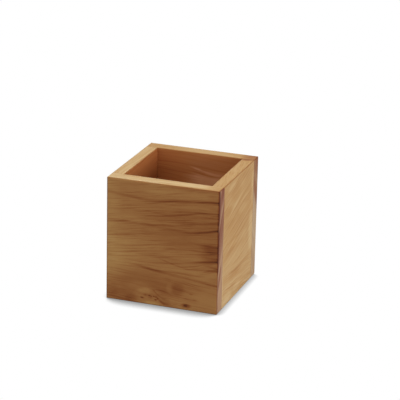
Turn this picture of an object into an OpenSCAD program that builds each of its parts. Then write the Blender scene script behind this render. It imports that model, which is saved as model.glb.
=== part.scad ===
// A desk cup for pens and pencils, made of five solid teak boards.
// The two side boards stand between a full-width front and back board in butt joints,
// so the end grain of the front and back boards shows as a strip on each side of the cup.
// Hidden dowels hold the joints, and the base panel lies loose in a groove round the inside.
// Sizes are in millimetres. The origin is the middle of the footprint, at table height,
// with +Z up and the front of the cup facing -Y.

/* [Cup] */
// Width of the cup, left to right
cup_w = 95; // [80:1:130]
// Depth of the cup, front to back
cup_d = 98; // [80:1:130]
// Height of the cup
cup_h = 104; // [80:1:140]

/* [Boards] */
// Thickness of the front and back boards
end_t = 11.5; // [9:0.5:14]
// Thickness of the two side boards
side_t = 10.5; // [9:0.5:14]
// Radius of the sanded outer edges
ease_r = 1.2; // [0.4:0.1:3]
// Radius of the sanded inner edge of the mouth
mouth_r = 0.8; // [0.4:0.1:2]
// Width of the broken edge on the side boards that shows as a fine line at each joint
joint_line = 0.2; // [0.1:0.05:0.5]

/* [Base panel] */
// Thickness of the base panel
base_t = 6; // [4:0.5:8]
// Height of the base panel's underside above the table
base_lift = 5; // [3:0.5:10]
// Depth of the groove that holds the base panel
groove_depth = 4; // [2:0.5:5]
// Clearance between the base panel and the roof of its groove
groove_clear = 0.2; // [0.1:0.05:0.5]
// Room for the base panel to swell, between its edge and the bottom of the groove
swell_gap = 0.5; // [0.2:0.1:1]
// Width of the chamfer that leads the base panel into its groove
panel_chamfer = 0.5; // [0.2:0.1:1]

/* [Dowels] */
// Diameter of a dowel
dowel_d = 5; // [4:0.5:6]
// Length of a dowel
dowel_l = 20; // [16:1:24]
// Dowels in each of the four corner joints
dowels_per_joint = 3; // [2:1:4]
// Distance from the groove and from the rim to the nearest dowel's centre
dowel_margin = 15; // [10:1:20]
// Wood left between a dowel bore and the outer face of the front or back board
dowel_skin = 3.5; // [2.5:0.5:5]
// Radial clearance of a dowel in its bore, filled by glue
dowel_clear = 0.05; // [0.02:0.01:0.15]
// Spare bore depth past each end of a dowel, for surplus glue
glue_well = 0.8; // [0.3:0.1:1.5]
// Glue flutes round a dowel
flutes = 10; // [6:1:14]
// Radius of a glue flute
flute_r = 0.4; // [0.2:0.05:0.5]
// Width of the chamfer on a dowel's ends
dowel_chamfer = 0.8; // [0.3:0.1:1.2]

/* [Hidden] */

// Facets of a full circle
$fn = 64;
// How far a cutting shape runs past the face that it cuts
over = 2;
// Signs that name the sides of the cup
left = -1;
right = 1;
front = -1;
back = 1;

// Clear inside of the cup
in_w = cup_w - 2 * side_t;
in_d = cup_d - 2 * end_t;

// The groove round the inside, and the panel that lies on its floor
groove_h = base_t + groove_clear;
groove_top = base_lift + groove_h;
tongue = groove_depth - swell_gap;
panel_w = in_w + 2 * tongue;
panel_d = in_d + 2 * tongue;
// A stopped groove ends in the cutter's half circle, past the corner of the panel
stopped_groove_l = in_w + 2 * groove_depth + groove_h;

// Dowels run along Y across each joint, in the middle of the side boards
dowel_x = cup_w / 2 - side_t / 2;
dowel_outer_y = cup_d / 2 - dowel_skin - glue_well;
bore_outer_y = cup_d / 2 - dowel_skin;
bore_l = dowel_l + 2 * glue_well;
bore_r = dowel_d / 2 + dowel_clear;
dowel_low_z = groove_top + dowel_margin;
dowel_high_z = cup_h - dowel_margin;
dowel_step = (dowel_high_z - dowel_low_z) / (dowels_per_joint - 1);

heartwood = [0.54, 0.35, 0.20];
pale_teak = [0.73, 0.56, 0.38];
floor_teak = [0.60, 0.40, 0.24];
beech = [0.85, 0.70, 0.52];

// Flat shapes

// A rectangle round its own centre, with true arcs at the corners
module eased_rectangle(w, h, r) {
    square([w - 2 * r, h], center = true);
    square([w, h - 2 * r], center = true);
    for (x = [-1, 1], y = [-1, 1])
        translate([x * (w / 2 - r), y * (h / 2 - r)])
            circle(r);
}

// A rectangle round its own centre, with its corners cut off at 45 degrees
module chamfered_rectangle(w, h, c) {
    polygon([
        [-w / 2 + c, -h / 2], [w / 2 - c, -h / 2], [w / 2, -h / 2 + c], [w / 2, h / 2 - c],
        [w / 2 - c, h / 2], [-w / 2 + c, h / 2], [-w / 2, h / 2 - c], [-w / 2, -h / 2 + c],
    ]);
}

// A slot with round ends, as a router cutter leaves it
module slot(l, h) {
    square([l - h, h], center = true);
    for (end = [-1, 1])
        translate([end * (l - h) / 2, 0])
            circle(h / 2);
}

// Section of an opening that widens by a quarter circle of radius r towards the rim
module flared_section(opening, r) {
    difference() {
        translate([-opening / 2 - r, 0])
            square([opening + 2 * r, r + over]);
        for (side = [-1, 1])
            translate([side * (opening / 2 + r), 0])
                circle(r);
    }
}

// Placing

// Lifts a section drawn in X and Z, and runs it along Y
module along_y(l) {
    rotate([90, 0, 0])
        linear_extrude(l, center = true)
            children();
}

// Lifts a section drawn in Y and Z, and runs it along X
module along_x(l) {
    rotate([90, 0, 90])
        linear_extrude(l, center = true)
            children();
}

// Shapes that the boards share

// The cup's outer form after sanding, solid inside, with every outer edge eased
module eased_block() {
    intersection() {
        translate([0, 0, -over])
            linear_extrude(cup_h + 2 * over)
                eased_rectangle(cup_w, cup_d, ease_r);
        along_y(cup_d + 2 * over)
            translate([0, cup_h / 2])
                eased_rectangle(cup_w, cup_h, ease_r);
        along_x(cup_w + 2 * over)
            translate([0, cup_h / 2])
                eased_rectangle(cup_d, cup_h, ease_r);
    }
}

// Cuts the eased inner edge of the mouth, mitred in its corners
module mouth_easing() {
    translate([0, 0, cup_h - mouth_r])
        intersection() {
            along_y(cup_d)
                flared_section(in_w, mouth_r);
            along_x(cup_w)
                flared_section(in_d, mouth_r);
        }
}

// Heights of the dowels in a joint
module at_dowel_heights() {
    for (i = [0 : dowels_per_joint - 1])
        translate([0, 0, dowel_low_z + i * dowel_step])
            children();
}

// One row of bores, drilled across the joint of an end board and a side board
module joint_bores(side, end) {
    at_dowel_heights()
        translate([side * dowel_x, end * bore_outer_y, 0])
            rotate([end * 90, 0, 0])
                cylinder(h = bore_l, r = bore_r);
}

// Pieces

// The front or back board: full width, with a stopped groove and a row of bores near each end
module end_board(end) {
    inner_y = end * in_d / 2;
    difference() {
        intersection() {
            eased_block();
            translate([-cup_w / 2 - over, end > 0 ? inner_y : inner_y - end_t - over, -over])
                cube([cup_w + 2 * over, end_t + over, cup_h + 2 * over]);
        }
        mouth_easing();
        translate([0, inner_y, base_lift + groove_h / 2])
            along_y(2 * groove_depth)
                slot(stopped_groove_l, groove_h);
        for (side = [left, right])
            joint_bores(side, end);
    }
}

// A side board: between the end boards, with a groove along it and bores in both ends
module side_board(side) {
    middle_x = side * (in_w / 2 + side_t / 2);
    difference() {
        intersection() {
            eased_block();
            translate([middle_x, 0, -over])
                linear_extrude(cup_h + 2 * over)
                    chamfered_rectangle(side_t, in_d, joint_line);
            along_x(cup_w + 2 * over)
                translate([0, cup_h / 2])
                    chamfered_rectangle(in_d, cup_h, joint_line);
        }
        mouth_easing();
        translate([side * in_w / 2 - groove_depth, -in_d / 2 - over, base_lift])
            cube([2 * groove_depth, in_d + 2 * over, groove_h]);
        for (end = [front, back])
            joint_bores(side, end);
    }
}

// The base panel: its edges reach into the grooves and are chamfered to lead in
module panel() {
    translate([0, 0, base_lift + base_t / 2])
        intersection() {
            along_y(panel_d)
                chamfered_rectangle(panel_w, base_t, panel_chamfer);
            along_x(panel_w)
                chamfered_rectangle(panel_d, base_t, panel_chamfer);
        }
}

// A dowel standing on Z: fluted along its length and chamfered at both ends
module dowel() {
    r = dowel_d / 2;
    intersection() {
        linear_extrude(dowel_l)
            difference() {
                circle(r);
                for (i = [0 : flutes - 1])
                    rotate(i * 360 / flutes)
                        translate([r, 0])
                            circle(flute_r, $fn = 24);
            }
        rotate_extrude()
            polygon([
                [0, 0], [r - dowel_chamfer, 0], [r, dowel_chamfer],
                [r, dowel_l - dowel_chamfer], [r - dowel_chamfer, dowel_l], [0, dowel_l],
            ]);
    }
}

// The dowels of one corner joint
module joint_dowels(side, end) {
    at_dowel_heights()
        translate([side * dowel_x, end * dowel_outer_y, 0])
            rotate([end * 90, 0, 0])
                dowel();
}

// Nodes

module front_board() { color(heartwood) end_board(front); }
module back_board() { color(heartwood) end_board(back); }
module left_board() { color(pale_teak) side_board(left); }
module right_board() { color(pale_teak) side_board(right); }
module base_panel() { color(floor_teak) panel(); }
module front_left_dowels() { color(beech) joint_dowels(left, front); }
module front_right_dowels() { color(beech) joint_dowels(right, front); }
module back_left_dowels() { color(beech) joint_dowels(left, back); }
module back_right_dowels() { color(beech) joint_dowels(right, back); }

front_board();
back_board();
left_board();
right_board();
base_panel();
front_left_dowels();
front_right_dowels();
back_left_dowels();
back_right_dowels();
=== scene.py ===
# %% [markdown]
# # A teak pen cup
# The cup is a small piece of joinery: four solid teak boards, butted and dowelled at the corners,
# round a base panel that lies in a groove. The frame below already holds every board at its real
# size, with its sanded edges and its fine joint lines. What is left for Blender is the look of the
# wood: where the grain runs, what each plank's own figure is, how the oil lies on it, and a plain
# studio to see it in.

# %% Load the frame
import math
from dataclasses import dataclass, field, fields

import bpy
from mathutils import Matrix, Vector


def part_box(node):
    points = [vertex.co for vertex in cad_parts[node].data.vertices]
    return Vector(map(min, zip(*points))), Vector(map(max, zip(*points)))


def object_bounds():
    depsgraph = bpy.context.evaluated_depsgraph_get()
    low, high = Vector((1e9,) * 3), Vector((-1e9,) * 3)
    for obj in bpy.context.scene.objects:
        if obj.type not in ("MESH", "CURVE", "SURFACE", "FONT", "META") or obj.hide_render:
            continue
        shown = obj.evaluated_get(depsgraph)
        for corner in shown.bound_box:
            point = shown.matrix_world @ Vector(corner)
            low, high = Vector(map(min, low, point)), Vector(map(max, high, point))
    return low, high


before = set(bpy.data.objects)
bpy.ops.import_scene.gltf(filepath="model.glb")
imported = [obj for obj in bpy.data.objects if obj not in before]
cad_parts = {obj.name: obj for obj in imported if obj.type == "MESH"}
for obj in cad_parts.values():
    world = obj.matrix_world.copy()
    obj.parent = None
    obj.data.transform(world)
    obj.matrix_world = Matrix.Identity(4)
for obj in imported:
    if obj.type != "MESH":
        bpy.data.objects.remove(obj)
cad_low, cad_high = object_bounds()
scene = bpy.context.scene
scene.view_settings.view_transform = "Standard"
MM = 0.001
cup_size = (cad_high - cad_low) / MM
print("cup, mm:", [round(side, 1) for side in cup_size])
print("boards and dowels:", sorted(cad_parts))

# %% [markdown]
# ## The camera
# The photograph was taken from a little to the right and a little above, through a long lens, so the
# upright edges hardly converge. A camera can be aimed by eye, but here the cup is a box of known size,
# so its straight edges fix the view: the angles, the distance and the focal length below are the ones
# at which the box's corners fall where the picture has them.

# %% Place the camera
PICTURE_PX = 400
FOCAL_PX = 1895.6
SENSOR_MM = 36.0
# How far round to the right it stands, how far above, and how much it leans, in degrees
VIEW_AZIMUTH = 19.14
VIEW_ELEVATION = 19.29
VIEW_ROLL = 1.31
# How far it is from the middle of the cup's foot: away from it, and to its own right and up
VIEW_DISTANCE = 1566.8 * MM
AIM_RIGHT = 15.09 * MM
AIM_UP = 70.75 * MM


def add_object(name, data):
    made = bpy.data.objects.new(name, data)
    scene.collection.objects.link(made)
    return made


def place_camera():
    azimuth, elevation, roll = map(math.radians, (VIEW_AZIMUTH, VIEW_ELEVATION, VIEW_ROLL))
    back = Vector((math.sin(azimuth) * math.cos(elevation),
                   -math.cos(azimuth) * math.cos(elevation),
                   math.sin(elevation)))
    level = Vector((math.cos(azimuth), math.sin(azimuth), 0))
    rise = back.cross(level)
    right = level * math.cos(roll) + rise * math.sin(roll)
    up = rise * math.cos(roll) - level * math.sin(roll)
    lens = bpy.data.cameras.new("camera")
    lens.sensor_width = SENSOR_MM
    lens.lens = SENSOR_MM * FOCAL_PX / PICTURE_PX
    camera = add_object("camera", lens)
    pose = Matrix((right, up, back)).transposed().to_4x4()
    pose.translation = right * AIM_RIGHT + up * AIM_UP + back * VIEW_DISTANCE
    camera.matrix_world = pose
    return camera


scene.camera = place_camera()
print("lens, mm:", round(scene.camera.data.lens, 1))

# %% [markdown]
# ## Nodes and colours
# A material in Blender is a tree of nodes. One small function is enough to write such trees: it adds a
# node, sets its own settings, and puts a number, a colour or another node's socket into its inputs.
# Colours are written as the sRGB hex values that one would pick off a sample, and turned to the linear
# values that the renderer works in.

# %% Helpers for materials
def node(tree, kind, inputs=(), out=0, **settings):
    """Adds one shader node and returns its output socket. Inputs are a row of values or a dict by name."""
    made = tree.nodes.new("ShaderNode" + kind)
    for setting, value in settings.items():
        setattr(made, setting, value)
    for place, value in (inputs.items() if isinstance(inputs, dict) else enumerate(inputs)):
        if isinstance(value, bpy.types.NodeSocket):
            tree.links.new(value, made.inputs[place])
        else:
            made.inputs[place].default_value = value
    return made.outputs[out] if len(made.outputs) else made


def linear(hex_colour):
    """An sRGB hex colour, such as #AF824F, as linear RGBA."""
    parts = [int(hex_colour[i:i + 2], 16) / 255 for i in (1, 3, 5)]
    return tuple(c / 12.92 if c <= 0.04045 else ((c + 0.055) / 1.055) ** 2.4 for c in parts) + (1.0,)


def new_tree(name):
    material = bpy.data.materials.new(name)
    material.use_nodes = True
    material.node_tree.nodes.clear()
    return material, material.node_tree


print("golden teak, linear:", [round(part, 3) for part in linear("#AF824F")])

# %% [markdown]
# ## The contact shadow
# The picture has a pure white ground, with only a narrow soft shadow where the cup stands. Such a shadow
# can be had without a lamp: Ambient Occlusion tells how much of the sky above each point of the floor the
# cup hides within a short reach. It is asked twice, and the darker answer counts. One looks up and a little
# to the left and back, which gives a narrow shadow at the right foot and round the corner. The other looks
# up and a little to the back, and gives the wider one in front. The left foot has none, as in the picture.

# %% Contact shadow
# Where a shadow looks for the sky and how far it reaches, the shares of open sky at which it is darkest
# and at which it ends, and how bright it is where it is darkest
RIGHT_SHADOW = {"look": (-0.46, 0.22, 0.86), "reach": 9 * MM, "full": 0.32, "none": 0.72, "darkest": 0.49}
FRONT_SHADOW = {"look": (0.04, 0.50, 0.87), "reach": 23.5 * MM, "full": 0.33, "none": 0.64, "darkest": 0.36}
SHADOW_SAMPLES = 32


def soft_shadow(tree, look, reach, full, none, darkest):
    towards_sky = node(tree, "CombineXYZ", look)
    open_sky = node(tree, "AmbientOcclusion", {"Distance": reach, "Normal": towards_sky}, out="AO",
                    samples=SHADOW_SAMPLES)
    return node(tree, "MapRange", {"Value": open_sky, "From Min": full, "From Max": none,
                                   "To Min": darkest, "To Max": 1.0})


print("shadows reach, mm:", [round(shadow["reach"] / MM, 1) for shadow in (RIGHT_SHADOW, FRONT_SHADOW)])

# %% [markdown]
# ## The floor
# The floor is a wide sheet of white paper. Light strong enough to burn it out to white would burn the cup
# out too. So it is white only to the camera and in reflections, and to all other light it is an ordinary
# pale floor. From below it is clear, so that the underside of the cup can be looked at too.

# %% Matt white paper
# Half the sheet's side, in metres, and the share of the light that it returns
FLOOR_HALF = 4.0
FLOOR_BOUNCE = 0.5
# The floor lies a hair under the boards, so that the two surfaces don't fight for the same place
FLOOR_DROP = 0.05 * MM
FLOOR_CORNERS = ((-1, -1), (1, -1), (1, 1), (-1, 1))


def seen_directly(tree):
    """1 for what the camera sees, straight or in a reflection or through glass, and 0 for other light."""
    path = node(tree, "LightPath").node
    shiny = node(tree, "Math", (path.outputs["Is Glossy Ray"], path.outputs["Is Transmission Ray"]),
                 operation="MAXIMUM")
    return node(tree, "Math", (path.outputs["Is Camera Ray"], shiny), operation="MAXIMUM")


def white_paper():
    """Matt white paper. It gives the eye nothing but the shadow that lies on it."""
    material, tree = new_tree("matt_white_paper")
    shade = node(tree, "Math", (soft_shadow(tree, **RIGHT_SHADOW), soft_shadow(tree, **FRONT_SHADOW)),
                 operation="MINIMUM")
    paper = node(tree, "BsdfDiffuse", {"Color": (FLOOR_BOUNCE, FLOOR_BOUNCE, FLOOR_BOUNCE, 1)})
    white = node(tree, "Emission", {"Strength": shade})
    above = node(tree, "MixShader", (seen_directly(tree), paper, white))
    below = node(tree, "BsdfTransparent")
    both = node(tree, "MixShader", (node(tree, "NewGeometry", out="Backfacing"), above, below))
    node(tree, "OutputMaterial", {"Surface": both})
    return material


floor_mesh = bpy.data.meshes.new("floor")
floor_points = [(x * FLOOR_HALF, y * FLOOR_HALF, -FLOOR_DROP) for x, y in FLOOR_CORNERS]
floor_mesh.from_pydata(floor_points, [], [(0, 1, 2, 3)])
floor_mesh.materials.append(white_paper())
add_object("floor", floor_mesh)
print("floor, m across:", 2 * FLOOR_HALF, "light that it returns:", FLOOR_BOUNCE)

# %% [markdown]
# ## The sky
# The world does two things here. To the camera it is the same pure white as the floor, so no horizon
# shows. To the cup it is a dim even sky, which keeps the shaded sides from going black.

# %% White sky
SKY_LEVEL = 0.30


def white_sky():
    world = bpy.data.worlds.new("white_sky")
    world.use_nodes = True
    tree = world.node_tree
    tree.nodes.clear()
    level = node(tree, "MapRange", {"Value": seen_directly(tree), "To Min": SKY_LEVEL, "To Max": 1.0})
    sky = node(tree, "Background", {"Color": (1, 1, 1, 1), "Strength": level})
    node(tree, "OutputWorld", {"Surface": sky})
    return world


scene.world = white_sky()
print("sky:", SKY_LEVEL)

# %% [markdown]
# ## The lamps
# In the picture the rim is brightest, the right face comes next and the front is less than half as bright,
# and hardly any of the light from the right falls into the cup. So one big soft light hangs overhead, a
# second stands low on the right, and a weak one in front lifts the front. A lamp's power is worked out
# from the level that it should give at the cup, where 1 shows a white surface as white.

# %% Three soft boxes
# Distances and widths are in metres
LAMPS = {
    "overhead_softbox": {"direction": (0.05, -0.15, 1.0), "distance": 1.6, "across": 0.9, "level": 0.68},
    "right_softbox": {"direction": (0.97, -0.22, 0.16), "distance": 1.6, "across": 0.5, "level": 0.50},
    "front_softbox": {"direction": (-0.30, -0.85, 0.42), "distance": 1.8, "across": 1.0, "level": 0.13},
}
cup_middle = (cad_low + cad_high) / 2


def softbox(name, direction, distance, across, level):
    """A round lamp that lights a white surface at the cup, turned to face it, to the level asked for."""
    lamp = bpy.data.lights.new(name, "AREA")
    lamp.shape = "DISK"
    lamp.size = across
    lamp.energy = level * (math.pi * distance) ** 2
    box = add_object(name, lamp)
    towards_lamp = Vector(direction).normalized()
    box.location = cup_middle + towards_lamp * distance
    box.rotation_mode = "QUATERNION"
    box.rotation_quaternion = towards_lamp.to_track_quat("Z", "Y")
    print(name, "power, W:", round(lamp.energy, 1))


for lamp_name, lamp_settings in LAMPS.items():
    softbox(lamp_name, **lamp_settings)

# %% [markdown]
# ## What teak is to the eye
# Teak is a golden brown wood. Along the board it shows long, fine, slightly wavy lines, which are its
# growth rings cut lengthways, and darker mineral streaks here and there. Its pores are open and show as
# short dark scratches along the grain and as dots in the end grain, which drinks more oil and is darker
# and redder. These boards were planed, sanded and oiled, so the surface is satin rather than shiny.
#
# A picture wrapped round a board would break at every edge. So the teak here is solid: its colour is
# worked out from the point's place inside the plank, and face, rim and end then agree by themselves, as
# they do on a sawn board. First come the kinds of marks that are drawn in it.

# %% Marks in the wood
@dataclass
class Streak:
    """A line in the wood. Its points are mm along, mm up and how much darker, or paler, the wood is there."""
    points: list
    half_width: float
    pale: bool = False
    # Whether it is kept to the inside of the cup
    inner: bool = False


@dataclass
class Patch:
    """An oval cloud in the wood, in mm. Where darker is below 0 it is paler."""
    along: float
    up: float
    half_length: float
    half_height: float
    darker: float
    # How much it smooths the fine lines, and whether it too is kept to the inside
    calm: float = 0.0
    inner: bool = False


@dataclass
class EndSpot:
    """A spot on a sawn end, in mm. Its ring is named by the height at which it meets the outer face."""
    depth: float
    ring: float
    half_depth: float
    half_height: float
    # How much more heartwood is in it
    heart: float


print("marks:", [kind.__name__ for kind in (Streak, Patch, EndSpot)])

# %% [markdown]
# ## A plank in words
# A board is more than its marks: it has a ground colour, grain that leans one way, lines and clouds of
# some strength, and sawn ends. All of this could be set node by node. Here it is one record for each board,
# so that a plank can be set beside the picture and corrected without looking at a node.

# %% A plank
# The heights on the outer face, in mm, between which the heartwood of a sawn end is described. Rings
# climb inwards, so those that end low on the inner face would start far below the board.
HEART_LOW = -45.0
HEART_HIGH = 105.0


@dataclass
class Board:
    """One plank: its place in the cup, how pale it is, how its grain runs and what is drawn in it."""
    cad: str
    # The cup's axes along the grain, up the board and through it, and which end of the last is outside
    axes: str
    outer_face: str
    seed: float
    # How pale the wood is, from 0 to 1, and how much paler its rim is drawn, which is painted sheen and top
    # light
    tone: float
    rim: float = 0.20
    # How steeply the lines climb along the board, low on it and high on it, and how drawn out they are
    lean: tuple = (0.03, 0.05)
    stretch: float = 2.0
    # How strong its lines and clouds are, and the darkening of its rounded edges
    lines: float = 0.14
    clouds: float = 0.10
    edge: float = 0.5
    # Heartwood in the sawn ends by height, how fast the rings climb inwards, and more of the outermost ring
    heart: tuple = ((HEART_LOW, 0.0), (HEART_HIGH, 0.0))
    heart_slope: float = 0.5
    ring: float = 0.0
    sapwood: str = "#AA8464"
    heartwood: str = "#74361A"
    end_spots: list = field(default_factory=list)
    streaks: list = field(default_factory=list)
    patches: list = field(default_factory=list)

    def marks(self):
        return len(self.streaks) + len(self.patches) + len(self.end_spots)


print("a plank is described by:", [entry.name for entry in fields(Board)])

# %% [markdown]
# ## Finding one's place in a plank
# Three numbers place a point in its board: how far it is along the grain, how high it is up the board,
# and how deep it lies under the outer face, all in millimetres. Which of the cup's axes these are is
# different for each board.

# %% Place in a plank
MM_PER_M = 1 / MM


def plank_place(tree, board):
    """Sockets for the distance along the grain, up the board and in from its outer face, in mm."""
    low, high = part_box(board.cad)
    start, scale = list(low), [MM_PER_M] * 3
    if board.outer_face == "high":
        inward = "XYZ".index(board.axes[2])
        start[inward], scale[inward] = high[inward], -MM_PER_M
    offset = node(tree, "VectorMath", (node(tree, "TexCoord", out="Object"), start), operation="SUBTRACT")
    place = node(tree, "VectorMath", (offset, scale), operation="MULTIPLY")
    split = node(tree, "SeparateXYZ", (place,)).node
    return [split.outputs[axis] for axis in board.axes]


front_low, front_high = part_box("front_board")
front_thickness = (front_high.y - front_low.y) / MM
print("front board, mm thick:", round(front_thickness, 1))

# %% [markdown]
# ## Which way a surface looks
# End grain, rim, inside and rounded edges each look different. The surface's normal tells them apart: it
# is turned into the board's own directions, and the share of it that points along one of them fades a
# mask in. On a rounded edge the normal points squarely along none of them.

# %% Facing
# The share of the normal at which a kind of surface begins, and at which it is fully there
END_FACING = (0.55, 0.80)
RIM_FACING = (0.60, 0.95)
INSIDE_FACING = (0.80, 1.0)
EDGE_FACING = (0.99, 0.85)


def plank_facing(tree, board):
    """Masks for end grain, for the rim, for the inside of the cup and for the rounded edges."""
    normal = node(tree, "TexCoord", out="Normal")
    split = node(tree, "SeparateXYZ", (normal,)).node
    along, up, inward = (split.outputs[axis] for axis in board.axes)
    unsigned = node(tree, "VectorMath", (normal,), operation="ABSOLUTE")
    x, y, z = node(tree, "SeparateXYZ", (unsigned,)).node.outputs
    squarest = node(tree, "Math", (node(tree, "Math", (x, y), operation="MAXIMUM"), z), operation="MAXIMUM")
    lengthways = node(tree, "Math", (along,), operation="ABSOLUTE")
    inwards = node(tree, "Math", (inward, 1.0 if board.outer_face == "low" else -1.0), operation="MULTIPLY")
    return [node(tree, "MapRange", {"Value": share, "From Min": begins, "From Max": full})
            for share, (begins, full) in ((lengthways, END_FACING), (up, RIM_FACING),
                                          (inwards, INSIDE_FACING), (squarest, EDGE_FACING))]


print("a rounded edge begins at, degrees:", round(math.degrees(math.acos(EDGE_FACING[0]))))

# %% [markdown]
# ## Grain that wanders
# A tree doesn't grow in straight lines. Before anything is drawn, the height of a point is shifted by
# slow noise, so that every line wavers, and by a lean, because the grain of a board rarely runs exactly
# along it. The rings also lie aslant in the thickness, so a line on the outside comes out at another
# height on the inside, as in a real board.

# %% Bend the grain
# The length and height of one bend of the grain and how far it shifts a line, in mm, and the share of that
# shift which the listed marks take
WANDER_MM = (48.0, 16.0)
WANDER = 2.4
MARK_WANDER = 0.3
# How far a ring drops for each mm of depth
RING_SLOPE = 1.3
# The heights between which the lean changes and the place along the board where it shifts nothing, in mm
LEAN_TURNS = (20.0, 44.0)
LEAN_MIDDLE = 45.0
# Steps of finer noise within each noise
NOISE_DETAIL = 2.0


def bent_heights(tree, board, along, up, depth):
    """The height of a point with its wander, for the listed marks, and with its lean, for the lines."""
    length, height = WANDER_MM
    place = node(tree, "CombineXYZ", (along, up, depth))
    slow = node(tree, "VectorMath", (place, (1 / length, 1 / height, 1 / height)), operation="MULTIPLY")
    waver = node(tree, "TexNoise", {"Vector": slow, "W": board.seed, "Scale": 1.0, "Detail": NOISE_DETAIL},
                 noise_dimensions="4D")
    shift = node(tree, "MapRange", {"Value": waver, "To Min": -WANDER, "To Max": WANDER})
    slanted = node(tree, "Math", (depth, RING_SLOPE, up), operation="MULTIPLY_ADD")
    mark_level = node(tree, "Math", (shift, MARK_WANDER, slanted), operation="MULTIPLY_ADD")
    level = node(tree, "Math", (slanted, shift), operation="ADD")
    from_middle = node(tree, "Math", (along, LEAN_MIDDLE), operation="SUBTRACT")
    low_turn, high_turn = LEAN_TURNS
    low_lean, high_lean = board.lean
    fall = node(tree, "MapRange", {"Value": up, "From Min": low_turn, "From Max": high_turn,
                                   "To Min": -low_lean, "To Max": -high_lean},
                interpolation_type="SMOOTHSTEP")
    return mark_level, node(tree, "Math", (from_middle, fall, level), operation="MULTIPLY_ADD")


print("a line comes out lower on the inside by, mm:", round(RING_SLOPE * front_thickness, 1))

# %% [markdown]
# ## Lines, clouds, fibres and pores
# All of these are noise that is drawn out along the grain, each at its own real size: clouds of tone a
# finger long, growth lines a millimetre wide, fibres finer than that. Noise by itself is soft, so the
# lines are cut out of it: only where it falls under a level does the wood go dark, which leaves separate
# lines with tapered ends. Pores lie in the middles of the cells of a Voronoi pattern, drawn out alike.

# %% Noise along the grain
# The length of one blotch along the grain and its width across it, in mm
GRAIN_MM = {
    "cloud": (46.0, 9.0),
    "band": (70.0, 3.2),
    "line": (34.0, 1.1),
    "dash": (13.0, 0.7),
    # Fibres are really about 0.02 mm wide: drawn far coarser, so that they show
    "fibre": (9.0, 0.35),
}
# Through the board a blotch is twice as deep as it is wide
DEPTH_SHARE = 0.5
# How long a pore is and how far apart pores lie, in mm, and the shares of that gap at which one begins and
# is full. Vessels are really 0.2 to 0.3 mm wide: drawn about twice as wide.
PORE_MM = (8.0, 1.0)
PORE_RADIUS = (0.30, 0.12)


def along_grain(tree, place, size, seed):
    """Noise in blotches of one length along the grain and one width across it, in mm."""
    length, width = size
    stretched = node(tree, "VectorMath", (place, (1 / length, 1 / width, DEPTH_SHARE / width)),
                     operation="MULTIPLY")
    return node(tree, "TexNoise", {"Vector": stretched, "W": seed, "Scale": 1.0, "Detail": NOISE_DETAIL},
                noise_dimensions="4D")


def open_pores(tree, place, seed):
    length, gap = PORE_MM
    stretched = node(tree, "VectorMath", (place, (1 / length, 1 / gap, 1 / gap)), operation="MULTIPLY")
    distance = node(tree, "TexVoronoi", {"Vector": stretched, "W": seed, "Scale": 1.0}, out="Distance",
                    voronoi_dimensions="4D")
    border, core = PORE_RADIUS
    return node(tree, "MapRange", {"Value": distance, "From Min": border, "From Max": core})


def grain_layers(tree, board, along, grain, depth):
    """Every noise of one board and its pores, by name."""
    drawn_out = node(tree, "Math", (along, board.stretch), operation="DIVIDE")
    place = node(tree, "CombineXYZ", (drawn_out, grain, depth))
    layers = {name: along_grain(tree, place, size, board.seed + step)
              for step, (name, size) in enumerate(GRAIN_MM.items())}
    layers["pores"] = open_pores(tree, place, board.seed)
    return layers


print("grain, mm long and wide:", GRAIN_MM)

# %% [markdown]
# ## A plank's own figure
# What makes a board recognisable is a handful of marks: a dark line that runs right across, a red cloud
# near one end, a knot. They are given one by one, in millimetres along and up the board. A streak is drawn
# with two curves through its points, one for how high it runs and one for how dark it is there. A cloud
# is an oval with a soft border. Both are drawn in the bent grain, so they waver with everything else.

# %% Streaks and clouds given one by one
# A curve gives values up to 1, so heights are written as shares of this one, in mm
CURVE_TOP = 120.0
# Where an oval ends and where it is full, in shares of its half size
OVAL_FADE = (1.1, 0.35)


def curve_through(tree, run, values):
    """A smooth curve through values that lie at given fractions of a run."""
    made = node(tree, "FloatCurve", {"Value": run}).node
    points = made.mapping.curves[0].points
    for point, place in zip(points, (values[0], values[-1])):
        point.location = place
    for place in values[1:-1]:
        points.new(*place)
    made.mapping.update()
    return made.outputs[0]


def streak_mask(tree, streak, along, level):
    first, last = streak.points[0][0], streak.points[-1][0]
    run = node(tree, "MapRange", {"Value": along, "From Min": first, "From Max": last})
    steps = [((x - first) / (last - first), up, dark) for x, up, dark in streak.points]
    height = curve_through(tree, run, [(fraction, up / CURVE_TOP) for fraction, up, _ in steps])
    strength = curve_through(tree, run, [(fraction, dark) for fraction, _, dark in steps])
    centre = node(tree, "Math", (height, CURVE_TOP), operation="MULTIPLY")
    above = node(tree, "Math", (level, centre), operation="SUBTRACT")
    off = node(tree, "Math", (above,), operation="ABSOLUTE")
    across = node(tree, "MapRange", {"Value": off, "From Min": streak.half_width, "From Max": 0.0},
                  interpolation_type="SMOOTHSTEP")
    return node(tree, "Math", (across, strength), operation="MULTIPLY")


def oval_mask(tree, across, level, centre, half_size):
    place = node(tree, "CombineXYZ", (across, level, 0.0))
    centred = node(tree, "VectorMath", (place, (*centre, 0.0)), operation="SUBTRACT")
    shares = (1 / half_size[0], 1 / half_size[1], 0.0)
    oval = node(tree, "VectorMath", (centred, shares), operation="MULTIPLY")
    reach = node(tree, "VectorMath", (oval,), out="Value", operation="LENGTH")
    border, core = OVAL_FADE
    return node(tree, "MapRange", {"Value": reach, "From Min": border, "From Max": core},
                interpolation_type="SMOOTHSTEP")


print("a cloud's soft border, share of its half size:", round(OVAL_FADE[0] - OVAL_FADE[1], 2))

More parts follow.
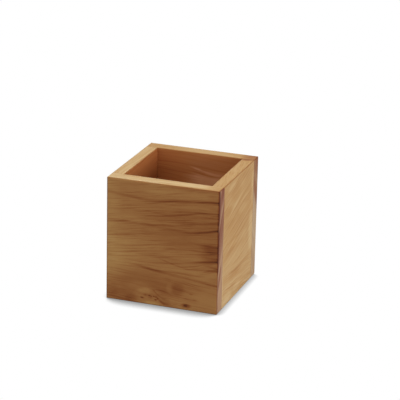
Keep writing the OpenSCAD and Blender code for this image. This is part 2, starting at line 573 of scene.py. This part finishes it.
# %% [markdown]
# ## One tone for everything
# Each layer makes the wood a little darker or paler, so the layers are simply added up. Noise lies round a
# half, and what it adds on average is taken off the board's own tone first. Marks get a frayed border from
# the finest lines. Where a cloud is calm, the lines in it are weakened, as in a quiet piece of wood.

# %% Tone of a board
NOISE_MIDDLE = 0.5
# The noise levels under which a line begins and is full
LINE_CUT = (0.50, 0.34)
DASH_CUT = (0.48, 0.30)
DASH_SHARE = 0.6
# How far a mark's border is frayed, in mm
FRAY = 0.9
# What the fibres, the pores and the inside of the cup weigh in the tone
FIBRE_TONE = 0.10
PORE_TONE = 0.05
# The inside is drawn paler here and tinted redder later: together they are painted light and shade inside the
# cup
INSIDE_TONE = 0.15


def weighed_sum(tree, start, terms):
    total = start
    for socket, weight in terms:
        total = node(tree, "Math", (socket, weight, total), operation="MULTIPLY_ADD")
    return total


def cut_lines(tree, noise, levels):
    """Dark lines where noise falls under a level."""
    begins, full = levels
    return node(tree, "MapRange", {"Value": noise, "From Min": begins, "From Max": full},
                interpolation_type="SMOOTHSTEP")


def board_tone(tree, board, layers, along, level, rim, inside):
    """How pale the wood is, and the fine lines in it, which also press into the surface."""
    fray = node(tree, "MapRange", {"Value": layers["dash"], "To Min": -FRAY, "To Max": FRAY})
    ragged = node(tree, "Math", (level, fray), operation="ADD")
    clouds = [(patch, oval_mask(tree, along, ragged, (patch.along, patch.up),
                                (patch.half_length, patch.half_height))) for patch in board.patches]
    lines = weighed_sum(tree, 0.0, [(cut_lines(tree, layers["line"], LINE_CUT), 1.0),
                                    (cut_lines(tree, layers["dash"], DASH_CUT), DASH_SHARE)])
    calm = weighed_sum(tree, 1.0, [(cloud, -patch.calm) for patch, cloud in clouds if patch.calm])
    lines = node(tree, "Math", (lines, calm), operation="MULTIPLY")
    ground = board.tone - NOISE_MIDDLE * (2 * board.clouds + board.lines + FIBRE_TONE)
    # The rim's share paints its sheen and the stronger light from above as paler wood
    tone = weighed_sum(tree, ground, [
        (layers["cloud"], 2 * board.clouds), (layers["band"], board.lines), (lines, -board.lines),
        (layers["fibre"], FIBRE_TONE), (layers["pores"], -PORE_TONE),
        (rim, board.rim), (inside, INSIDE_TONE)])
    marks = [(streak_mask(tree, streak, along, ragged), 1.0 if streak.pale else -1.0, streak.inner)
             for streak in board.streaks]
    marks += [(cloud, -patch.darker, patch.inner) for patch, cloud in clouds]
    for mask, weight, inner in marks:
        shown = node(tree, "Math", (mask, inside), operation="MULTIPLY") if inner else mask
        tone = weighed_sum(tree, tone, [(shown, weight)])
    return tone, lines


print("weights in the tone:", {"fibres": FIBRE_TONE, "pores": PORE_TONE, "inside": INSIDE_TONE})

# %% [markdown]
# ## From tone to colour
# Everything so far only makes the wood darker or paler. One scale of colours then turns that tone into
# teak: nearly black brown in a knot, red brown in a dark line, ochre in the ground, and pale straw, which
# paints the sheen on the rim and the right side. Using one scale for every board is what makes them one wood.

# %% Teak's colours
TEAK_TONES = (
    (0.00, "#43200E"),  # knot
    (0.20, "#7A421D"),  # mineral line
    (0.35, "#8D582D"),  # heartwood
    (0.50, "#9C6A3B"),
    (0.62, "#A57644"),  # ground
    (0.75, "#B1864F"),
    (1.00, "#CCAF80"),  # pale straw: painted sheen and top light on the rim and the right side
)


def teak_colour(tree, tone):
    ramp = node(tree, "ValToRGB", (tone,))
    stops = ramp.node.color_ramp.elements
    for stop, (position, colour) in zip(stops, (TEAK_TONES[0], TEAK_TONES[-1])):
        stop.position, stop.color = position, linear(colour)
    for position, colour in TEAK_TONES[1:-1]:
        stops.new(position).color = linear(colour)
    return ramp


print("teak, from a knot to the rim:", [colour for _, colour in TEAK_TONES])

# %% [markdown]
# ## End grain
# The front and back boards run the full width of the cup, so their sawn ends show as a strip on each
# side. There one looks into the open vessels. The wood is redder and darker than on the faces where it is
# heartwood, and paler low down, towards the outside of the tree. The rings lie aslant in the board, so
# the dark band climbs from the outer face towards the joint. A curve says how much heart there is at each
# height, and a slope carries it through the thickness. A last thin ring lies right at the outer corner.

# %% The sawn ends
# Growth rings: how far one runs before it fades, and how wide it is up the outer face, in mm
RING_MM = (30.0, 4.0)
FINE_RING_MM = (18.0, 1.3)
# Rings and pores are added to the heart's share, and most of what they add on average is taken off first
HEART_START = -0.55
FINE_RING_SHARE = 0.3
END_PORE_SHARE = 0.25
# Depth at which the outermost ring ends, and at which it is full. It is nearly as dark as a knot.
OUTER_RING_MM = (2.8, 1.4)
OUTER_RING = "#5E2A10"
# A Mix node repeats its sockets for each kind of data: these are its share, its two colours and its result
MIX_SHARE = 0
MIX_UNDER = 6
MIX_OVER = 7
MIX_RESULT = 2


def end_grain(tree, board, along, up, depth, pores):
    carried = node(tree, "Math", (depth, -board.heart_slope, up), operation="MULTIPLY_ADD")
    run = node(tree, "MapRange", {"Value": carried, "From Min": HEART_LOW, "From Max": HEART_HIGH})
    core = curve_through(tree, run, [((height - HEART_LOW) / (HEART_HIGH - HEART_LOW), amount)
                                     for height, amount in board.heart])
    place = node(tree, "CombineXYZ", (depth, carried, along))
    rings = along_grain(tree, place, RING_MM, board.seed)
    fine_rings = along_grain(tree, place, FINE_RING_MM, board.seed)
    spots = [(oval_mask(tree, depth, carried, (spot.depth, spot.ring), (spot.half_depth, spot.half_height)),
              spot.heart) for spot in board.end_spots]
    heart = weighed_sum(tree, HEART_START, [(core, 1.0), (rings, 1.0), (fine_rings, FINE_RING_SHARE),
                                            (pores, END_PORE_SHARE)] + spots)
    wood = node(tree, "Mix", {MIX_SHARE: heart, MIX_UNDER: linear(board.sapwood),
                              MIX_OVER: linear(board.heartwood)}, out=MIX_RESULT, data_type="RGBA")
    ring_end, ring_full = OUTER_RING_MM
    corner = node(tree, "MapRange", {"Value": depth, "From Min": ring_end, "From Max": ring_full})
    ring = node(tree, "Math", (corner, node(tree, "Math", (core, board.ring), operation="ADD")),
                operation="MULTIPLY", use_clamp=True)
    return node(tree, "Mix", {MIX_SHARE: ring, MIX_UNDER: wood, MIX_OVER: linear(OUTER_RING)},
                out=MIX_RESULT, data_type="RGBA")


print("growth rings, mm:", RING_MM[1], "with finer ones of:", FINE_RING_MM[1])

# %% [markdown]
# ## The oiled surface
# Now the layers are put together: colour from tone, then the painted red shade of the inside, the end grain
# and the darker edges over it. Teak oil sinks in and leaves no film to shine, so the surface reflects far
# less than varnish would, and the sheen of the rim and the right side is painted into their colour instead.
# Pores and lines press a little into it, and the fibres vary its gloss.

# %% Oiled teak
# Inside the cup the wood is tinted redder: painted shade, with the red of light bounced between the walls
INSIDE_SHADE_TINT = "#FFD4CA"
# The rounded edges are cut across the fibres, take more oil and are a little darker
EDGE_TINT = "#B08D74"
# Drying oil has an IOR of about 1.47. A specular level of 0.5 would be a full film of it.
OIL_IOR = 1.47
OIL_FILM = 0.15
# Roughness where the fibres' noise is low and where it is high, and the noise levels for these
SATIN = (0.60, 0.48)
FIBRE_SPREAD = (0.25, 0.75)
# Depth of the relief, and how deep pores and lines lie in it against the fibres
RELIEF = 0.15 * MM
RELIEF_STRENGTH = 0.25
PORE_RELIEF = 0.8
LINE_RELIEF = 0.3


def teak(board):
    """Oiled teak for one board. Satin: it blurs every reflection, and its pores are open to the touch."""
    material, tree = new_tree("oiled_teak_" + board.cad)
    along, up, depth = plank_place(tree, board)
    end, rim, inside, edge = plank_facing(tree, board)
    level, grain = bent_heights(tree, board, along, up, depth)
    layers = grain_layers(tree, board, along, grain, depth)
    tone, lines = board_tone(tree, board, layers, along, level, rim, inside)
    wood = teak_colour(tree, tone)
    sawn = end_grain(tree, board, along, up, depth, layers["pores"])
    edge_oil = node(tree, "Math", (edge, board.edge), operation="MULTIPLY")
    # Over the colour go the painted red shade of the inside, the end grain and the darker edges
    for share, over, blend in ((inside, linear(INSIDE_SHADE_TINT), "MULTIPLY"), (end, sawn, "MIX"),
                               (edge_oil, linear(EDGE_TINT), "MULTIPLY")):
        wood = node(tree, "Mix", {MIX_SHARE: share, MIX_UNDER: wood, MIX_OVER: over}, out=MIX_RESULT,
                    data_type="RGBA", blend_type=blend)
    rough = node(tree, "MapRange", {"Value": layers["fibre"], "From Min": FIBRE_SPREAD[0],
                                    "From Max": FIBRE_SPREAD[1], "To Min": SATIN[0], "To Max": SATIN[1]})
    relief = weighed_sum(tree, layers["fibre"], [(layers["pores"], -PORE_RELIEF), (lines, -LINE_RELIEF)])
    bump = node(tree, "Bump", {"Strength": RELIEF_STRENGTH, "Distance": RELIEF, "Height": relief})
    finish = node(tree, "BsdfPrincipled", {"Base Color": wood, "Roughness": rough, "IOR": OIL_IOR,
                                           "Specular IOR Level": OIL_FILM, "Normal": bump})
    node(tree, "OutputMaterial", {"Surface": finish})
    return material


print("oiled teak: IOR", OIL_IOR, "roughness", SATIN)

# %% [markdown]
# ## The front board
# The front is the cup's best board. Four dark mineral lines cross it, the lowest as an arch over small
# knots at the bottom edge. To the left the wood is pale ochre and to the right it is red heartwood, with
# the darkest patch half way up the right edge. The lines between them rise to the right.

# %% Lines of the front board
FRONT_STREAKS = [
    # The four long mineral lines
    Streak([(0, 92.3, 0.10), (14, 90.8, 0.16), (25, 90.0, 0.20), (35, 89.4, 0.20), (45, 89.8, 0.20),
            (56, 91.0, 0.26), (67, 92.3, 0.28), (80, 93.6, 0.19), (88, 94.0, 0.17), (96, 94.2, 0.15)], 2.2),
    Streak([(0, 68.8, 0.08), (33, 68.3, 0.12), (45, 67.5, 0.06), (60, 66.6, 0.08), (70, 66.5, 0.15),
            (80, 68.2, 0.24), (96, 71.6, 0.28)], 1.7),
    Streak([(62, 41.0, 0.0), (75, 42.2, 0.14), (84, 43.3, 0.28), (96, 45.0, 0.32)], 2.0),
    Streak([(18, 32.0, 0.0), (27, 32.6, 0.18), (35, 31.6, 0.30), (42, 30.4, 0.30), (52, 29.4, 0.20),
            (66, 28.0, 0.16), (80, 26.6, 0.18), (88, 25.3, 0.22), (96, 25.0, 0.22)], 2.2),
    # Thin lines in the upper half
    Streak([(48, 78.6, 0.0), (60, 80.2, 0.12), (72, 82.3, 0.15), (82, 84.2, 0.18), (96, 85.4, 0.15)], 1.2),
    Streak([(0, 78.4, 0.14), (12, 79.2, 0.12), (30, 80.2, 0.08), (45, 79.0, 0.08), (58, 78.0, 0.0)], 0.9),
    Streak([(56, 72.0, 0.0), (65, 73.0, 0.12), (75, 74.3, 0.18), (96, 77.6, 0.20)], 1.1),
    Streak([(74, 57.6, 0.0), (81, 57.8, 0.12), (88, 57.6, 0.10), (96, 57.2, 0.06)], 1.2),
    # Thin lines half way up
    Streak([(70, 51.6, 0.0), (78, 52.0, 0.14), (84, 52.2, 0.18), (96, 53.0, 0.06)], 1.1),
    Streak([(8, 47.4, 0.0), (25, 49.5, 0.16), (50, 53.2, 0.12), (66, 54.0, 0.0)], 0.9),
    Streak([(78, 47.0, 0.0), (86, 47.4, 0.10), (96, 48.0, 0.12)], 1.0),
    Streak([(8, 42.0, 0.0), (25, 44.5, 0.14), (38, 46.8, 0.08), (50, 47.6, 0.0)], 0.9),
    Streak([(82, 40.4, 0.0), (89, 39.9, 0.12), (96, 39.2, 0.16)], 1.2),
    Streak([(44, 41.2, 0.0), (49, 40.4, 0.16), (55, 38.8, 0.13), (61, 37.3, 0.14), (67, 36.2, 0.10),
            (72, 35.8, 0.0)], 1.0),
    Streak([(66, 35.4, 0.0), (74, 36.0, 0.14), (84, 36.6, 0.18), (90, 36.9, 0.14), (96, 37.4, 0.10)], 1.4),
    # The lines that bend round the knots
    Streak([(40, 13.6, 0.0), (46, 14.0, 0.16), (51, 13.3, 0.12), (59, 10.6, 0.0)], 1.0),
    Streak([(39, 14.0, 0.0), (41, 13.0, 0.14), (44, 10.4, 0.14), (47, 8.4, 0.10), (51, 6.2, 0.06),
            (56, 5.0, 0.0)], 1.2),
    Streak([(42, 10.0, 0.0), (46, 5.6, 0.20), (49, 3.4, 0.26), (53, 2.4, 0.18), (59, 1.0, 0.0)], 2.2),
]
print("lines on the front:", len(FRONT_STREAKS))

# %% [markdown]
# The clouds come next. The large ones make the colour drift from ochre to red, and the flat ones are bands
# of paler and darker growth. Two narrow ones stand along the ends of the board, where the grain is open and
# drinks more oil.

# %% Clouds of the front board
FRONT_CLOUDS = [
    # Red heartwood to the right, pale ochre to the left
    Patch(105, 74, 95, 26, 0.16),
    Patch(0, 84, 14, 30, -0.12),
    Patch(3, 52, 8, 8, -0.07),
    Patch(0, 46, 30, 24, -0.12),
    Patch(15, 37, 32, 9, -0.06),
    Patch(0, 25, 16, 8, -0.08),
    # Bands in the upper half, from the rim down
    Patch(25, 105, 45, 3, -0.10),
    Patch(75, 104, 32, 4, 0.14),
    Patch(92, 97, 8, 4, 0.07),
    Patch(60, 97, 40, 4, -0.05),
    Patch(44, 96.5, 12, 3, -0.06),
    Patch(70, 87, 40, 3, -0.05),
    Patch(56, 72.5, 10, 3, -0.08),
    Patch(25, 72, 30, 4, -0.07),
    Patch(24, 71, 10, 3, -0.06),
    Patch(76, 63, 12, 4, -0.05),
    # The quiet red band across the middle
    Patch(60, 60.5, 28, 7.5, 0.06, calm=0.8),
    Patch(66, 55, 36, 5, 0.08),
    Patch(78, 39.5, 34, 4.5, 0.08),
    # The darkest patch, half way up the right edge
    Patch(90.5, 55.4, 12, 5.5, 0.21),
    Patch(91, 48.5, 15, 4.5, 0.09),
    Patch(92, 46, 16, 10, 0.10),
    # Both ends of the board, and the right end of the rim
    Patch(-0.4, 10, 1.8, 30, 0.14),
    Patch(95.2, 82, 1.9, 76, 0.24),
    Patch(95, 112, 17, 10, 0.16),
]
print("clouds on the front:", len(FRONT_CLOUDS))

# %% [markdown]
# Low on the front a branch once left the trunk. The wood under the arch is red and quiet, with paler wood
# close round a row of small knots, and a single dark knot further to the right.

# %% Knots of the front board
FRONT_KNOTS = [
    # Red and quiet wood under the arch
    Patch(36, 17, 38, 15, 0.18, calm=0.7),
    Patch(60, 24, 14, 5, 0.06),
    Patch(72, 20, 14, 10, 0.06),
    Patch(61.5, 17.5, 7, 7.5, 0.12),
    Patch(54.5, 17, 3.5, 4.5, -0.08),
    Patch(86, 12, 20, 12, 0.0, calm=0.7),
    Patch(73, 9, 9, 4, 0.06),
    # The lower left corner
    Patch(4, 9, 8, 8, 0.08),
    Patch(13, 4, 16, 8, 0.14),
    Patch(22, 3.5, 7, 4, 0.10),
    # Paler wood round the knots, and the dark foot of the line beside them
    Patch(28, 15, 13, 5, -0.10),
    Patch(40, 12.5, 10, 3, -0.10),
    Patch(33, 11.8, 7.5, 3.2, -0.14),
    Patch(29, 9, 6, 4, -0.08),
    Patch(39, 1.8, 8, 2.0, -0.16),
    Patch(51, 5, 6, 4, 0.10),
    Patch(57, 3.5, 6, 2.5, 0.06),
    # The row of small knots
    Patch(31.3, 5.3, 2.0, 0.9, 0.32),
    Patch(33.8, 8.2, 1.6, 0.9, 0.12),
    Patch(37.6, 8.1, 1.4, 1.0, 0.26),
    Patch(38.5, 6.2, 2.2, 0.7, 0.16),
    Patch(39.2, 7.6, 1.0, 0.9, 0.20),
    Patch(41.4, 8.0, 1.0, 0.9, 0.28),
    Patch(42.9, 5.3, 1.3, 0.9, 0.32),
    Patch(43.0, 7.6, 1.2, 1.0, 0.20),
    Patch(44.5, 6.2, 1.2, 1.2, 0.18),
    # The single knot and two flecks over it
    Patch(69, 4.2, 5.5, 2.4, 0.32),
    Patch(68.5, 4.2, 2.2, 1.4, 0.20),
    Patch(73.0, 14.6, 2.4, 0.9, 0.14),
    Patch(76.3, 10.0, 2.2, 0.9, 0.12),
]
print("knots and what lies round them:", len(FRONT_KNOTS))

# %% [markdown]
# Last come the sawn ends of this board, with two dark bands of heartwood that climb inwards and a pale
# foot, and then the board itself.

# %% Front board
FRONT = Board(
    cad="front_board", axes="XZY", outer_face="low", seed=1.3, tone=0.58, rim=0.38, lean=(-0.08, 0.14),
    stretch=1.0, lines=0.155,
    heart=((HEART_LOW, 0.0), (22, 0.0), (29, 0.0), (33, 0.14), (37, 0.48), (43, 0.46), (52, 0.64),
           (64, 0.68), (70, 0.18), (75, 0.46), (82, 0.72), (90, 0.78), (97, 0.55), (HEART_HIGH, 0.55)),
    heart_slope=2.4, ring=0.35,
    end_spots=[
        EndSpot(4.8, 19.0, 4.5, 8, 0.68),
        EndSpot(7.5, 50, 4.0, 7, 0.12),
        EndSpot(3.4, 60, 2.5, 6, 0.15),
        EndSpot(8.5, 66, 2.8, 4, -0.28),
        EndSpot(9.2, 74.5, 2.8, 5, 0.42),
        EndSpot(8.3, 82, 2.6, 4, 0.22),
        EndSpot(3.2, 95, 2.2, 5, -0.38),
    ],
    streaks=FRONT_STREAKS,
    patches=FRONT_CLOUDS + FRONT_KNOTS,
)
print("marks on the front:", FRONT.marks())

# %% [markdown]
# ## The back board
# The back comes from the same plank as the front, so it has the same long dark lines. It is seen from the
# inside too, where the wood is plain under the rim, with a few wavy lines below and a paler cloud, which is
# painted light reaching deep into the cup. The rings are aslant, so a mark comes out about 15 mm lower there
# than it is written.

# %% Back board
BACK = Board(
    cad="back_board", axes="XZY", outer_face="high", seed=7.7, tone=0.60, rim=0.22, lean=(0.05, -0.06),
    sapwood="#B59976", heartwood="#804616",
    heart=((HEART_LOW, 0.10), (-4, 0.14), (5, 0.18), (14, 0.02), (48, 0.0), (54, 0.18), (58, 0.46),
           (63, 0.74), (67, 0.64), (76, 0.58), (80, 0.54), (86, 0.72), (HEART_HIGH, 0.92)),
    heart_slope=1.8,
    end_spots=[EndSpot(9, 80, 3, 5, 0.22)],
    streaks=[
        # Long dark lines
        Streak([(10, 78.0, 0.0), (40, 76.5, 0.16), (70, 77.5, 0.14), (96, 80.0, 0.06)], 1.0),
        Streak([(0, 62.0, 0.06), (30, 60.0, 0.18), (60, 57.0, 0.22), (96, 55.5, 0.14)], 1.7),
        Streak([(15, 46.0, 0.0), (35, 47.2, 0.14), (60, 46.0, 0.10), (80, 44.8, 0.0)], 0.9),
        Streak([(0, 34.0, 0.12), (20, 36.5, 0.24), (45, 38.0, 0.28), (70, 36.4, 0.22),
                (96, 33.0, 0.14)], 2.0),
        Streak([(0, 14.0, 0.20), (30, 12.0, 0.14), (60, 13.0, 0.18), (96, 16.0, 0.10)], 1.4),
        # Wavy lines on the inside
        Streak([(37, 106.6, 0.0), (42, 105.8, 0.14), (46, 105.0, 0.18), (50, 104.6, 0.0)], 1.2,
               pale=True, inner=True),
        Streak([(42, 104.8, 0.0), (49, 103.8, 0.22), (54, 103.0, 0.16), (60, 102.4, 0.0)], 1.3,
               pale=True, inner=True),
        Streak([(52, 102.6, 0.0), (57, 101.9, 0.18), (62, 101.4, 0.16), (68, 101.0, 0.0)], 1.1,
               pale=True, inner=True),
        Streak([(41, 102.6, 0.0), (47, 101.4, 0.12), (54, 100.2, 0.24), (62, 99.6, 0.20),
                (70, 99.2, 0.0)], 1.2, inner=True),
        Streak([(42, 98.8, 0.0), (48, 97.8, 0.12), (53, 96.6, 0.24), (57, 95.0, 0.22),
                (63, 94.4, 0.0)], 1.3, pale=True, inner=True),
        Streak([(55, 97.6, 0.0), (60, 97.2, 0.12), (68, 97.2, 0.0)], 0.8, pale=True, inner=True),
    ],
    patches=[
        # The rim, dark at its right end
        Patch(50, 112, 30, 10, -0.05),
        Patch(95, 112, 15, 12, 0.32),
        Patch(93, 104, 16, 4.5, 0.18),
        # The plain wood under the rim inside, and below it a paler cloud, which is painted light deep in the
        # cup
        Patch(52, 114, 52, 11, 0.0, calm=0.85),
        Patch(60, 96, 28, 9, -0.24, inner=True),
        Patch(50, 96, 40, 7, -0.05),
        # The outer face
        Patch(34, 68, 38, 6, 0.08, calm=0.7),
        Patch(10, 50, 42, 17, 0.12),
        Patch(86, 22, 28, 14, -0.10),
        Patch(50, 4, 50, 7, 0.08, calm=0.6),
    ],
)
print("marks on the back:", BACK.marks())

# %% [markdown]
# ## The right board
# The right side is drawn the palest and quietest board, nearly straw-coloured: the paleness is painted sheen,
# the whitish reflection of a face seen nearly on edge. Its fine lines climb to the back in its upper half and
# lie level in its lower half. It gets paler towards the bottom.

# %% Right board
RIGHT = Board(
    # Its high tone is painted sheen, the whitish reflection of a face seen nearly on edge
    cad="right_board", axes="YZX", outer_face="high", seed=21.9, tone=0.80, rim=0.01, lean=(-0.08, 0.25),
    stretch=2.2, lines=0.12, edge=0.7,
    streaks=[
        Streak([(10, 72.5, 0.0), (20, 76.5, 0.06), (27, 79.5, 0.08), (38, 83.0, 0.07),
                (54, 88.5, 0.0)], 3.0, pale=True),
        Streak([(40, 77.0, 0.0), (48, 79.0, 0.06), (58, 80.5, 0.05), (70, 81.0, 0.0)], 1.6, pale=True),
        Streak([(2, 51.5, 0.0), (14, 51.8, 0.04), (34, 52.0, 0.04), (44, 51.0, 0.0)], 1.4),
        Streak([(14, 25.5, 0.0), (22, 24.5, 0.08), (34, 23.5, 0.12), (50, 24.0, 0.08),
                (75, 24.5, 0.04)], 1.8),
        Streak([(3, 16.0, 0.0), (14, 15.5, 0.08), (28, 15.0, 0.08), (38, 15.5, 0.0)], 1.8, pale=True),
        Streak([(12, 12.5, 0.0), (24, 12.4, 0.08), (38, 12.0, 0.07), (50, 11.5, 0.04),
                (75, 12.5, 0.04)], 1.3),
        Streak([(30, 9.6, 0.0), (38, 9.0, 0.08), (46, 8.6, 0.06), (52, 8.4, 0.0)], 1.2, pale=True),
    ],
    patches=[
        # Where the back joint crosses the rim
        Patch(75.4, 112, 5.5, 9, 0.50),
        # Along the front joint
        Patch(0, 92, 2.5, 16, 0.08),
        Patch(0, 60, 2.5, 10, -0.06),
        Patch(0, 20, 2.5, 26, -0.12),
        # Along the back joint
        Patch(74, 86, 6, 11, -0.12),
        Patch(73, 75, 5, 9, -0.06),
        Patch(72, 45, 9, 25, -0.11),
        # Clouds in the upper half
        Patch(20, 98, 14, 4, -0.08),
        Patch(55, 98, 14, 6, 0.04),
        Patch(30, 91, 16, 9, 0.06),
        Patch(10, 80, 13, 5, 0.07),
        Patch(48, 72, 14, 5, -0.06),
        Patch(16, 68, 16, 4, 0.05),
        # Bands in the lower half, paler towards the bottom
        Patch(40, 48, 40, 4, -0.05),
        Patch(30, 42, 32, 5, 0.03),
        Patch(40, 32, 60, 14, -0.05),
        Patch(32, 20, 20, 6, 0.07),
        Patch(57, 16, 20, 4, 0.06),
        Patch(40, 14, 70, 8, -0.05),
        Patch(36, 8, 12, 4, -0.07),
        Patch(12, 6, 16, 6, -0.12),
        Patch(40, 2, 70, 6, -0.06),
    ],
)
print("marks on the right side:", RIGHT.marks())

# %% [markdown]
# ## The left board and the base panel
# The left side shows its rim and its inner face. It is drawn darker than the right one, whose paleness is
# painted sheen, and has a few dark lines of its own. The base panel lies deep in the cup, with its grain from
# left to right.

# %% Left board and base panel
LEFT = Board(
    cad="left_board", axes="YZX", outer_face="low", seed=12.1, tone=0.57, rim=0.36,
    streaks=[
        Streak([(5, 80.0, 0.0), (30, 82.0, 0.14), (76, 86.0, 0.18)], 1.0),
        Streak([(0, 58.0, 0.14), (30, 55.0, 0.20), (55, 54.5, 0.16), (76, 56.0, 0.06)], 1.5),
        Streak([(0, 40.5, 0.10), (22, 41.5, 0.14), (45, 41.0, 0.0)], 0.9),
        Streak([(0, 24.0, 0.10), (25, 26.0, 0.20), (50, 29.0, 0.22), (76, 30.0, 0.12)], 1.8),
    ],
    patches=[
        Patch(62, 67, 34, 10, 0.10),
        Patch(12, 46, 26, 9, -0.08),
        Patch(40, 9, 46, 9, 0.12, calm=0.6),
    ],
)
BASE = Board(
    cad="base_panel", axes="XYZ", outer_face="low", seed=33.0, tone=0.58,
    streaks=[
        Streak([(8, 71.0, 0.0), (40, 69.5, 0.14), (70, 71.5, 0.0)], 1.0),
        Streak([(0, 57.0, 0.10), (40, 54.0, 0.20), (83, 58.0, 0.14)], 1.5),
        Streak([(0, 22.0, 0.16), (40, 25.0, 0.22), (83, 23.0, 0.12)], 1.8),
    ],
    patches=[
        Patch(28, 40, 42, 9, 0.10, calm=0.6),
        Patch(66, 12, 30, 10, -0.08),
    ],
)
print("marks on the left side and the base:", LEFT.marks(), BASE.marks())

# %% [markdown]
# ## Finish the boards
# Each board gets its own teak. The meshes stay as they are: only their material changes.

# %% Oiled teak on the five boards
for plank in (FRONT, BACK, LEFT, RIGHT, BASE):
    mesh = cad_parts[plank.cad].data
    mesh.materials.clear()
    mesh.materials.append(teak(plank))
    print(plank.cad, "in", mesh.materials[0].name)

# %% [markdown]
# ## The dowels
# Twelve beech dowels hold the corners, hidden once the cup is glued up. Beech is a pale pinkish wood with
# almost no lines. What gives it away are its rays, short brown flecks along the grain. Bought dowel is
# turned and left raw, so it is matt.

# %% Raw turned beech
BEECH = "#C99F78"
BEECH_GROWTH = "#B98A62"
BEECH_FLECK = "#94633F"
# Wood fibre itself has an IOR of about 1.5
BEECH_IOR = 1.5
# Roughness of the early wood and of the late wood
BEECH_MATT = (0.62, 0.78)
BEECH_SEED = 41.0
# The length and width of a stripe of growth, and then of a ray, in mm
GROWTH_MM = (22.0, 1.8)
# Rays are about 0.1 mm wide on a turned face: drawn about three times as wide
FLECK_MM = (2.2, 0.35)
FLECK_CUT = (0.46, 0.34)
FLECK_RELIEF = 0.1 * MM
FLECK_RELIEF_STRENGTH = 0.2


def beech():
    """Raw beech, turned to a rod along Y. Matt, pale and even, with short brown flecks."""
    material, tree = new_tree("raw_turned_beech")
    split = node(tree, "SeparateXYZ", (node(tree, "TexCoord", out="Object"),)).node.outputs
    metres = node(tree, "CombineXYZ", (split["Y"], split["X"], split["Z"]))
    place = node(tree, "VectorMath", (metres, [MM_PER_M] * 3), operation="MULTIPLY")
    growth = along_grain(tree, place, GROWTH_MM, BEECH_SEED)
    rays = cut_lines(tree, along_grain(tree, place, FLECK_MM, BEECH_SEED + 1), FLECK_CUT)
    wood = linear(BEECH)
    for share, colour in ((growth, BEECH_GROWTH), (rays, BEECH_FLECK)):
        wood = node(tree, "Mix", {MIX_SHARE: share, MIX_UNDER: wood, MIX_OVER: linear(colour)},
                    out=MIX_RESULT, data_type="RGBA")
    early, late = BEECH_MATT
    rough = node(tree, "MapRange", {"Value": growth, "To Min": early, "To Max": late})
    bump = node(tree, "Bump", {"Strength": FLECK_RELIEF_STRENGTH, "Distance": FLECK_RELIEF, "Height": rays})
    finish = node(tree, "BsdfPrincipled", {"Base Color": wood, "Roughness": rough, "IOR": BEECH_IOR,
                                           "Normal": bump})
    node(tree, "OutputMaterial", {"Surface": finish})
    return material


raw_beech = beech()
for name, cad_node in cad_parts.items():
    if name.endswith("_dowels"):
        cad_node.data.materials.clear()
        cad_node.data.materials.append(raw_beech)
        print(name, "in", raw_beech.name)
